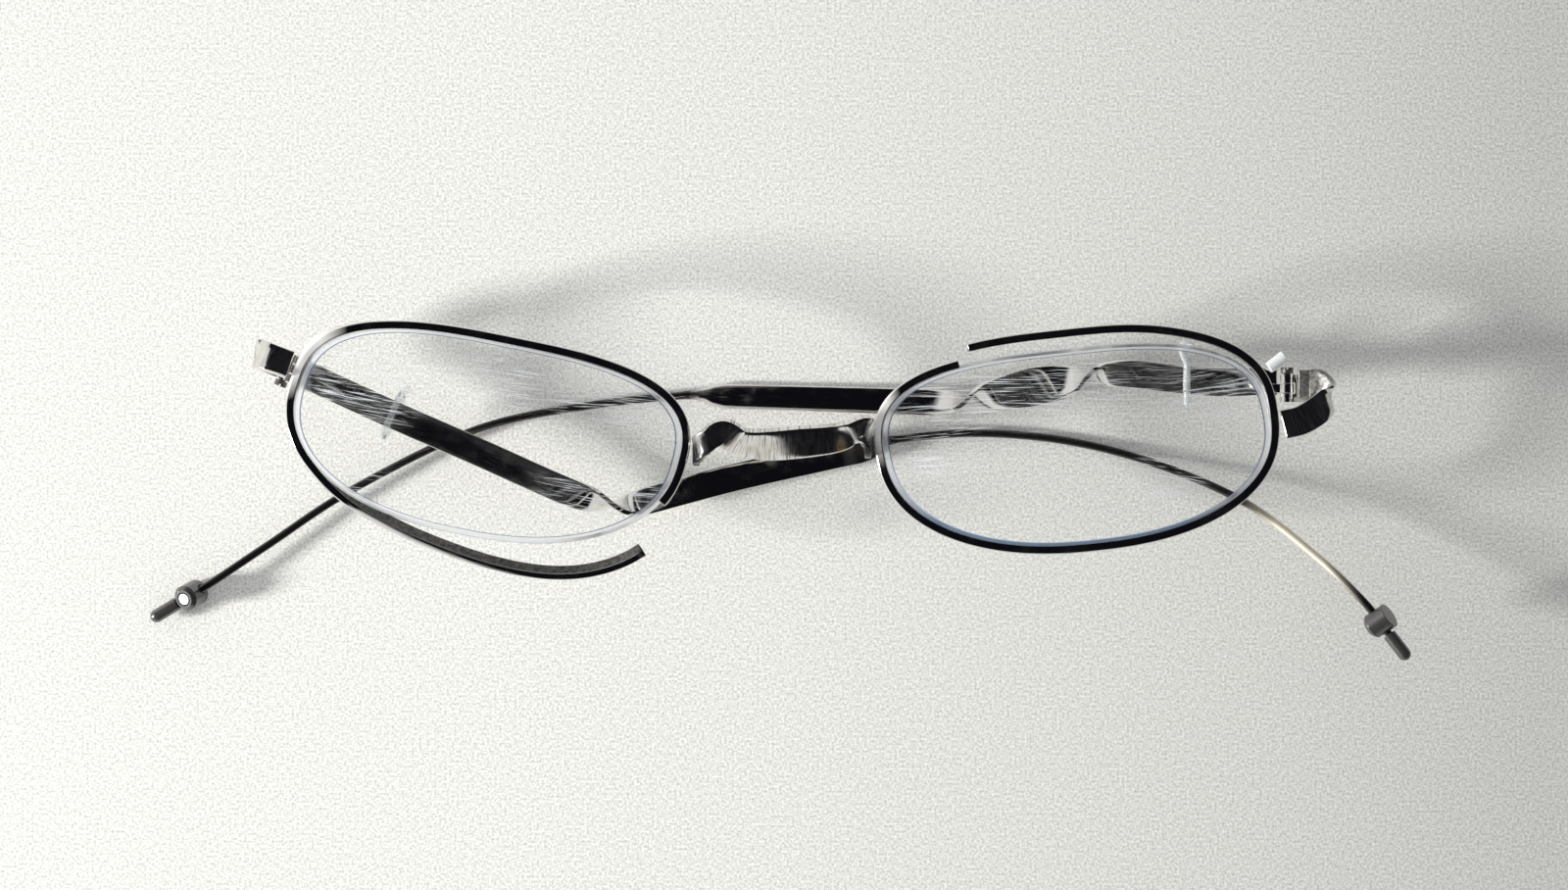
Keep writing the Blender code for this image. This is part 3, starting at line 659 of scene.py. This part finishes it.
def make_bridge(material):
    """The shape holds shares of the way from foot to foot, with up, rise, roll, width, thickness."""
    foot = BRIDGE_THICKNESS / 2 + 2 * GAP / MM
    left = nose_face(LEFT).x / MM + foot
    right = nose_face(RIGHT).x / MM - foot
    wide, narrow, thick, edge = BRIDGE_WIDTH, BRIDGE_FOOT_WIDTH, BRIDGE_THICKNESS, BRIDGE_EDGE
    shape = [(0.000, -1.0, -4.2, 0, narrow, thick), (0.000, -0.8, -1.6, 0, narrow, thick),
             (0.028, -0.1, 0.0, 12, narrow - 0.4, thick), (0.085, 0.9, 0.7, 27, narrow - 0.6, edge),
             (0.155, 1.8, 1.0, 30, wide - 0.9, edge), (0.258, 0.5, 0.5, 46, wide - 0.2, edge),
             (0.406, 0.1, 0.2, 46, wide + 0.7, edge), (0.610, 0.4, 0.2, 32, wide, edge),
             (0.805, 0.9, 0.3, 28, wide - 0.6, edge), (0.900, 1.7, 0.7, 44, wide - 0.8, edge),
             (0.972, 2.2, 0.3, 26, narrow, edge), (1.000, 1.2, -1.0, 8, narrow, thick),
             (1.000, 0.2, -2.6, 0, narrow, thick), (1.000, 0.0, -4.4, 0, narrow, thick)]
    _, lift, base = DRAWING_ORIGIN / MM
    stations = []
    for share, up, rise, *section in shape:
        x = between(left, right, share)
        stations.append((x, up + lift, BRIDGE_HEIGHT + rise + base, *section, BRIDGE_ROUNDNESS))
    drawn_piece("bridge_strip", *strip_frames(stations), material, "front", "bridge", "brushed_metal")


make_bridge(bridge_finish("filed bridge metal"))


# End-pieces: flat strips brazed to the outer side of each rim, bent back on themselves in a
# U so that the end lies over the hinge leaf. Filed across like the bridge.
END_PIECE_AT = {LEFT: 175.2, RIGHT: -3.9}
END_PIECE_WIDTH = 3.9
END_PIECE_THICKNESS = 1.1
END_PIECE_SHIFT = {LEFT: 0.2, RIGHT: 0.5}
LEAF_THICKNESS = 0.5
BAND_ROUNDNESS = 0.1
PIN_FROM_LENS = {LEFT: Vector((-2.24, 0.95, -4.44)) * MM, RIGHT: Vector((2.41, 4.87, -4.43)) * MM}
HINGE_TURN = {LEFT: math.radians(157.4), RIGHT: 0.0}
TURNED_BACK_TONES = ((0.12, 0.12, 0.115, 1), (0.42, 0.41, 0.39, 1))
TURNED_BACK_FADE = 0.8 * MM

# Out from the rim: x, y and z from the joint, and roll.
END_PIECE_OUT = {
    LEFT: ((-0.6, 0.2, 0.3, 24), (-2.2, 0.8, 0.5, 28), (-3.7, 1.3, 0.1, 28), (-4.8, 1.7, -1.5, 18)),
    RIGHT: ((0.6, 0.0, 0.3, 0), (3.0, 0.6, 0.6, -6), (5.2, 2.0, 0.3, -10), (6.5, 3.7, -1.0, -8)),
}

# Back over the leaf: reach from the pin, and height over where it would lie on the leaf.
END_PIECE_BACK = ((3.9, 1.5), (3.2, 0.25), (2.4, 0.1), (1.4, 0.1))


def rim_outer(side, angle):
    """Point on the bent rim's outer face, level with the lens ridge."""
    step = (angle - RIM_CUT[side]) % 360 / RIM_SWEEP[side] * RIM_STEPS
    (point, out, _), (after, _, _) = rim_frames(side)[int(step):int(step) + 2]
    return between(point, after, step % 1) + out * (GAP + RIM_WALL)


def pin_at(side):
    """Middle of the hinge's pin, which stays with the lens when a rim is bent."""
    return lens_place(side) @ ridge_point(side, math.radians(END_PIECE_AT[side])) + PIN_FROM_LENS[side]


def make_end_piece(side, material):
    section = (END_PIECE_WIDTH, END_PIECE_THICKNESS, BAND_ROUNDNESS)
    start = rim_outer(side, END_PIECE_AT[side]) / MM
    stations = []
    for x, y, z, roll in END_PIECE_OUT[side]:
        stations.append((start.x + x, start.y + y, start.z + z, roll, *section))
    pin = pin_at(side) / MM
    turn = Matrix.Rotation(HINGE_TURN[side], 3, "Z")
    on_leaf = LEAF_THICKNESS / 2 + GAP / MM + END_PIECE_THICKNESS / 2
    for reach, height in END_PIECE_BACK:
        place = pin + turn @ Vector((reach, side * END_PIECE_SHIFT[side], on_leaf + height))
        stations.append((*place, 0, *section))
    name = f"{SIDES[side]}_end_piece"
    drawn_piece(name + "_strip", *strip_frames(stations), material, "front", name, "brushed_metal")


def end_piece_finish(name, turned_back):
    """Filed metal that is dull and mottled from where the strip turns back."""
    material = brushed_metal(name, 0.14, 0.25)
    back = spread(material, kept_place(material, "along"), turned_back, turned_back + TURNED_BACK_FADE)
    grey = mottled_tone(material, object_coordinates(material), 0.45 * MM, *TURNED_BACK_TONES)
    finish_over(material, back, grey, 0.5, 0.6)
    return material


make_end_piece(LEFT, end_piece_finish("filed left end-piece metal", 7.5 * MM))
make_end_piece(RIGHT, end_piece_finish("filed right end-piece metal", 8.2 * MM))


# Temples: each is one rod, rolled flat as far as the middle and left as round wire behind
# it. The left band has a half twist in it and the right one a full turn like a corkscrew.
BARREL_RADIUS = 0.95
TEMPLE_REACH = 147.7
BAND_WIDTH = 3.75
BAND_THICKNESS = 0.9
BAND_SLOPE = {LEFT: HINGE_TURN[LEFT] - math.pi, RIGHT: HINGE_TURN[RIGHT]}
WIRE_DIAMETER = 1.05
STOP_LENGTH = 3.4
CAP_BORE_DEPTH = 2.6
STOP_TO_CAP = 2.1
WIRE_PAINTED_DARK_FROM = (78 * MM, 80 * MM)
WIRE_PAINTED_DARK_SHARE = 0.94
WIRE_PAINTED_DARK_TONE = (0.03, 0.028, 0.028, 1)
WIRE_PAINTED_HIGHLIGHT = (70.5, -7.5, 12.0, 3.0, -48)
WIRE_PAINTED_HIGHLIGHT_TONE = (0.95, 0.88, 0.72, 1)


def tip_of(side):
    """The barrel's place from the hinge pin in millimetres, and the wire's heading through it."""
    barrel = {LEFT: Vector((TEMPLE_REACH - 1.3, -34.2, 0.9)),
              RIGHT: Vector((-TEMPLE_REACH - 0.2, -28.0, -5.6))}[side]
    heading = {LEFT: Vector((0.60, -0.79, 0.15)), RIGHT: Vector((-0.85, -0.51, -0.08))}[side]
    return barrel, heading.normalized()


def temple_stations(side):
    """The temple from the hinge to its end: x, y, z, roll, width, thickness and roundness.

    A fifth number in the route is how much wider the band is flattened there. The curl is a
    share of the wire's reach, with y and z.
    """
    band, flat, wire = BAND_WIDTH, BAND_THICKNESS, WIRE_DIAMETER
    under = -(LEAF_THICKNESS / 2 + GAP / MM + BAND_THICKNESS / 2)
    start = BARREL_RADIUS + 2 * GAP / MM
    if side == LEFT:
        slope = BAND_SLOPE[LEFT]
        route = [(start * math.cos(slope), start * math.sin(slope), under, 0),
                 (14.0, -6.4, under - 0.5, 0), (24.5, -11.0, -1.8, 0), (34.9, -15.7, -2.9, 0),
                 (38.9, -17.3, -3.5, 18), (41.5, -18.2, -4.0, 55), (43.5, -18.6, -4.3, 92),
                 (45.5, -18.6, -4.6, 130), (48.1, -18.1, -4.9, 166), (53.4, -16.6, -5.3, 180),
                 (62.0, -14.4, -5.6, 180), (76.8, -11.1, -5.9, 180)]
        neck = [(79.6, -10.3, -6.1), (82.2, -9.7, -6.3)]
        curl = [(0.16, -8.9, -6.9), (0.35, -9.9, -7.3), (0.54, -13.0, -6.5), (0.73, -18.4, -3.5),
                (0.875, -25.6, -1.1)]
    else:
        route = [(-start, 0.9, under, 0), (-9.5, 0.8, under - 0.3, 0), (-15.5, 1.3, -1.2, 0),
                 (-20.2, 1.9, -1.6, -8), (-24.0, 1.9, -1.9, -36), (-26.4, 1.6, -2.3, -90),
                 (-28.8, 1.1, -2.7, -142, 1.0), (-34.2, 0.1, -3.5, -180, 1.5),
                 (-39.8, -0.9, -4.3, -222, 0.8), (-42.4, -1.5, -4.8, -270),
                 (-44.7, -1.8, -5.2, -314), (-48.4, -1.8, -5.7, -330), (-54.2, -1.6, -6.2, -330),
                 (-64.8, -1.3, -6.4, -328), (-75.2, -1.0, -6.45, -324)]
        neck = [(-78.4, -0.8, -6.7), (-81.4, -0.9, -6.8)]
        curl = [(0.191, -2.3, -6.7), (0.418, -5.5, -6.4), (0.669, -13.6, -6.0), (0.841, -21.1, -5.7)]
    roll = route[-1][3]
    round_wire = (roll, wire, wire, 1)
    stations = [(*place[:4], band + sum(place[4:]), flat, BAND_ROUNDNESS) for place in route]
    stations.append((*neck[0], roll, between(wire, band, 0.3), wire, 0.6))
    stations.append((*neck[1], *round_wire))
    barrel, heading = tip_of(side)
    for share, y, z in curl:
        stations.append((between(neck[1][0], barrel.x, share), y, z, *round_wire))
    for reach in (-STOP_LENGTH, 0, STOP_TO_CAP, STOP_TO_CAP + CAP_BORE_DEPTH - GAP / MM):
        stations.append((*(barrel + heading * reach), *round_wire))
    x, y, z = pin_at(side) / MM
    return [(x + station[0], y + station[1], z + station[2], *station[3:]) for station in stations]


def make_temple(side, material):
    name = f"{SIDES[side]}_temple"
    frames, sections = strip_frames(temple_stations(side))
    drawn_piece(name + "_rod", frames, sections, material, f"{SIDES[side]}_arm", name, "polished_metal")


def temple_finish(name):
    """Polished bands, and wires darkened by a painted dark reflection but for one stretch that carries a
    cream painted highlight.
    """
    material = polished_metal(name)
    # Painted dark reflection: from here on the wires are darkened almost to black.
    wires = spread(material, kept_place(material, "along"), *WIRE_PAINTED_DARK_FROM)
    dark = arithmetic(material, "MULTIPLY", wires, WIRE_PAINTED_DARK_SHARE)
    finish_over(material, dark, WIRE_PAINTED_DARK_TONE, 0.2, 0.9)
    # Painted highlight: one stretch of wire is made cream.
    painted_highlight = patch(material, object_coordinates(material), *WIRE_PAINTED_HIGHLIGHT)
    finish_over(material, painted_highlight, WIRE_PAINTED_HIGHLIGHT_TONE, 0.35, 0.5)
    return material


temple_metal = temple_finish("polished temple metal")
for each_side in SIDES:
    make_temple(each_side, temple_metal)


# Temple loops: a length of clear plastic tube wound once round each band, with its cut end
# standing out on the brow side.
LOOP_DIAMETER = 0.85
LOOP_BEVEL = 0.08 * MM
LOOP_INSET, LOOP_OUTSET = 0.4, 0.6
LOOP_REACH = {LEFT: Vector((0, 0, 0)), RIGHT: Vector((-4.0, 0.25, -0.2))}
HAZE_TONES = ((0.80, 0.86, 0.88, 1), (0.97, 0.98, 0.98, 1))


def clear_plastic(name, clear, ior):
    """Plastic that is clear by a share and gone a little milky, dull in patches."""
    material = new_material(name, IOR=ior, Transmission_Weight=clear)
    haze = cloudy(material, object_coordinates(material), 0.8 * MM, 3.0)
    set_inputs(material, material.node_tree.nodes["Principled BSDF"], {
        "Base Color": blended_colour(material, haze, *HAZE_TONES),
        "Roughness": spread(material, haze, 0.3, 0.7, 0.05, 0.3),
    })
    return material


def make_loop(side, material):
    """Places are along the band, across it and off its face, from its second station."""
    face = (BAND_THICKNESS + LOOP_DIAMETER) / 2 + 2 * GAP / MM
    edge = (BAND_WIDTH + LOOP_DIAMETER) / 2 + GAP / MM
    inner, outer = edge - LOOP_INSET, edge + LOOP_OUTSET
    tail = {
        LEFT: [(1.1, edge + 1.7, face + 0.3), (0.3, edge + 0.9, face + 0.2)],
        RIGHT: [(0.9, edge + 2.1, face + 0.7), (0.0, edge + 2.6, face + 0.8),
                (-0.8, edge + 2.0, face + 0.7), (-0.5, edge + 0.9, face + 0.3)],
    }[side]
    wound = [(0.0, inner, face), (0.0, 0.0, face), (0.0, -inner, face),
             (0.1, -outer, face / 2), (0.2, -outer, -face / 2),
             (0.3, -inner, -face), (0.3, 0.0, -face), (0.3, inner, -face),
             (0.3, edge + LOOP_OUTSET / 2, -face / 2)]
    start = Vector(temple_stations(side)[1][:3]) + LOOP_REACH[side]
    place = Matrix.Translation(start) @ Matrix.Rotation(BAND_SLOPE[side], 4, "Z")
    stations = [(*(place @ Vector(point)), 0, LOOP_DIAMETER, LOOP_DIAMETER, 1) for point in tail + wound]
    name = f"{SIDES[side]}_temple_loop"
    drawn_piece(name + "_tube", *strip_frames(stations), material, f"{SIDES[side]}_arm", name,
                "milky_plastic", LOOP_BEVEL)


make_loop(LEFT, clear_plastic("clear loop plastic", 0.8, 1.3))
make_loop(RIGHT, clear_plastic("milky loop plastic", 0.6, 1.4))


# Small parts: pressed hinge leaves, turned screws, barrels and caps of the same alloy, and the
# white plastic tube that is squeezed out beside the right hinge. They keep the solids' own
# shapes, with their edges eased.
SMALL_WELD_DISTANCE = 0.002 * MM
SMALL_EDGE = 0.06 * MM
STOP_EDGE = 0.1 * MM
SMALL_CREASE = 30
TIP_PAINTED_DARK_TONES = ((0.02, 0.02, 0.022, 1), (0.07, 0.07, 0.075, 1))
BRIGHT_SCREW_TONES = ((0.45, 0.56, 0.62, 1), (0.75, 0.84, 0.88, 1))


def eased_copy(node, body, material, edge=SMALL_EDGE):
    """A merged copy of a solid with its edges broken, which stands for it."""
    bm = bmesh.new()
    bm.from_mesh(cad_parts[node].data)
    bmesh.ops.remove_doubles(bm, verts=bm.verts, dist=SMALL_WELD_DISTANCE)
    bmesh.ops.dissolve_limit(bm, angle_limit=math.radians(1), verts=bm.verts, edges=bm.edges)
    piece = finished_piece(node + "_eased", bm, (material,), crease=SMALL_CREASE)
    broken = piece.modifiers.new("broken edges", "BEVEL")
    broken.width = edge
    broken.segments = 2
    broken.limit_method = "ANGLE"
    broken.angle_limit = math.radians(SMALL_CREASE)
    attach(piece, body)
    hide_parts(node)


def mottled_metal(name, share, tones, roughness):
    """Polished metal with a mottled, duller tone laid over it by a share; on the dark tip metal this is
    painted dark reflection.
    """
    material = polished_metal(name)
    tone = mottled_tone(material, object_coordinates(material), 0.3 * MM, *tones)
    finish_over(material, share, tone, roughness, 0.7)
    return material


turned_metal = polished_metal("polished turned metal")
# Painted dark reflection on the hinge screws, tip stops and tip caps.
painted_dark_metal = mottled_metal("painted dark tip metal", 0.85, TIP_PAINTED_DARK_TONES, 0.25)
bright_metal = mottled_metal("bright tip screw metal", 0.8, BRIGHT_SCREW_TONES, 0.45)
for side_name in SIDES.values():
    eased_copy(f"{side_name}_front_hinge_leaf", "front", turned_metal)
    eased_copy(f"{side_name}_temple_hinge_leaf", f"{side_name}_arm", turned_metal)
    eased_copy(f"{side_name}_hinge_screw", "front", painted_dark_metal)
    eased_copy(f"{side_name}_tip_stop", f"{side_name}_arm", painted_dark_metal, STOP_EDGE)
    eased_copy(f"{side_name}_tip_stop_screw", f"{side_name}_arm", bright_metal)
    eased_copy(f"{side_name}_tip_cap", f"{side_name}_arm", painted_dark_metal)
bushing_plastic = clear_plastic("white bushing plastic", 0.1, 1.46)
eased_copy("right_hinge_bushing", "front", bushing_plastic)


# The pale surface that the eyeglasses lie on, with a fine speckle, and the light round it: a
# warm lamp low on the left, a pale room and a dark ceiling that the polished faces mirror.
SURFACE_REACH = 1.5
# Painted shade: the surface's tone falls from left to right as the lamp's light would.
SURFACE_PAINTED_FALLOFF = ((-104, 0.86), (-40, 0.875), (0, 0.845), (40, 0.775), (65, 0.72), (104, 0.60))
SURFACE_TINT = (0.995, 1.0, 0.965)
SPECKLE_SIZE = 0.34 * MM
SPECKLE = (0.72, 1.28)
LAMP_PLACE = Vector((-1.0, -0.186, 0.34))
LAMP_AIM = Vector((0, 0, 0.01))
LAMP_SIZE = 0.17
LAMP_ENERGY = 16.9
LAMP_COLOUR = (1.0, 0.985, 0.95)
CEILING_LEAN = (0.4, 0.0, 1.0)
CEILING_EDGE = (0.14, 0.28)
ROOM_TONE = (0.82, 0.82, 0.81, 1)
CEILING_TONE = (0.004, 0.004, 0.006, 1)
FILL_TONE = (0.52, 0.52, 0.525, 1)
BACKDROP_TONE = (0.86, 0.87, 0.85, 1)
CAMERA_HEIGHT = 615 * MM
VIEW_WIDTH = 208 * MM
VIEW_DISTANCE = 600 * MM
SENSOR_WIDTH = 36
NEAREST_SEEN = 10 * MM


def pale_surface(name):
    """Matt board with a fine speckle; its tone, given for each X in millimetres, darkens to the right as a
    painted falloff of the lamp's light.
    """
    material = new_material(name, Roughness=0.9)
    place = object_coordinates(material)
    x_of = add_node(material, "ShaderNodeSeparateXYZ", Vector=place).outputs["X"]
    first, last = SURFACE_PAINTED_FALLOFF[0][0], SURFACE_PAINTED_FALLOFF[-1][0]
    ramp = add_node(material, "ShaderNodeValToRGB", Fac=spread(material, x_of, first * MM, last * MM))
    stops = ramp.color_ramp.elements
    for x, _ in SURFACE_PAINTED_FALLOFF[1:-1]:
        stops.new((x - first) / (last - first))
    for stop, (_, tone) in zip(stops, SURFACE_PAINTED_FALLOFF):
        stop.color = (*(tone * part for part in SURFACE_TINT), 1)
    speckle = spread(material, cloudy(material, place, SPECKLE_SIZE, 1.0), 0.25, 0.75, *SPECKLE)
    both = add_node(material, "ShaderNodeVectorMath", Vector=ramp.outputs["Color"])
    both.operation = "SCALE"
    plug(material, both.inputs["Scale"], speckle)
    set_inputs(material, material.node_tree.nodes["Principled BSDF"],
               {"Base Color": both.outputs["Vector"], "Specular IOR Level": 0.1})
    return material


def light_low_lamp():
    lamp = bpy.data.lights.new("low warm lamp", "AREA")
    lamp.shape = "DISK"
    lamp.size = LAMP_SIZE
    lamp.energy = LAMP_ENERGY
    lamp.color = LAMP_COLOUR
    stand = bpy.data.objects.new("low warm lamp", lamp)
    stand.location = LAMP_PLACE
    stand.rotation_euler = (LAMP_AIM - LAMP_PLACE).to_track_quat("-Z", "Y").to_euler()
    bpy.context.scene.collection.objects.link(stand)


def light_room():
    """The metal mirrors a pale room under a dark ceiling, and the rest is lit by an even fill."""
    room = bpy.data.worlds.new("pale room with a dark ceiling")
    room.use_nodes = True
    direction = add_node(room, "ShaderNodeTexCoord").outputs["Generated"]
    tilt = operate(room, "ShaderNodeVectorMath", "DOT_PRODUCT", (direction, CEILING_LEAN))["Value"]
    mirrored = blended_colour(room, spread(room, tilt, *CEILING_EDGE), ROOM_TONE, CEILING_TONE)
    path = add_node(room, "ShaderNodeLightPath")
    mirror = arithmetic(room, "MAXIMUM", path.outputs["Is Glossy Ray"], path.outputs["Is Transmission Ray"])
    lit = blended_colour(room, mirror, FILL_TONE, mirrored)
    seen = blended_colour(room, path.outputs["Is Camera Ray"], lit, BACKDROP_TONE)
    set_inputs(room, room.node_tree.nodes["Background"], {"Color": seen})
    bpy.context.scene.world = room


def place_camera():
    """Straight above, looking down."""
    view = bpy.data.cameras.new("camera above")
    view.sensor_width = SENSOR_WIDTH
    view.lens = SENSOR_WIDTH * VIEW_DISTANCE / VIEW_WIDTH
    view.clip_start = NEAREST_SEEN
    camera = bpy.data.objects.new("camera above", view)
    camera.location = DRAWING_ORIGIN + Vector((0, 0, CAMERA_HEIGHT))
    bpy.context.scene.collection.objects.link(camera)
    bpy.context.scene.camera = camera


bm = bmesh.new()
bmesh.ops.create_grid(bm, x_segments=1, y_segments=1, size=SURFACE_REACH)
surface = finished_piece("surface", bm, (pale_surface("speckled pale surface"),))
light_low_lamp()
light_room()
place_camera()
bpy.context.scene.view_settings.view_transform = "Standard"
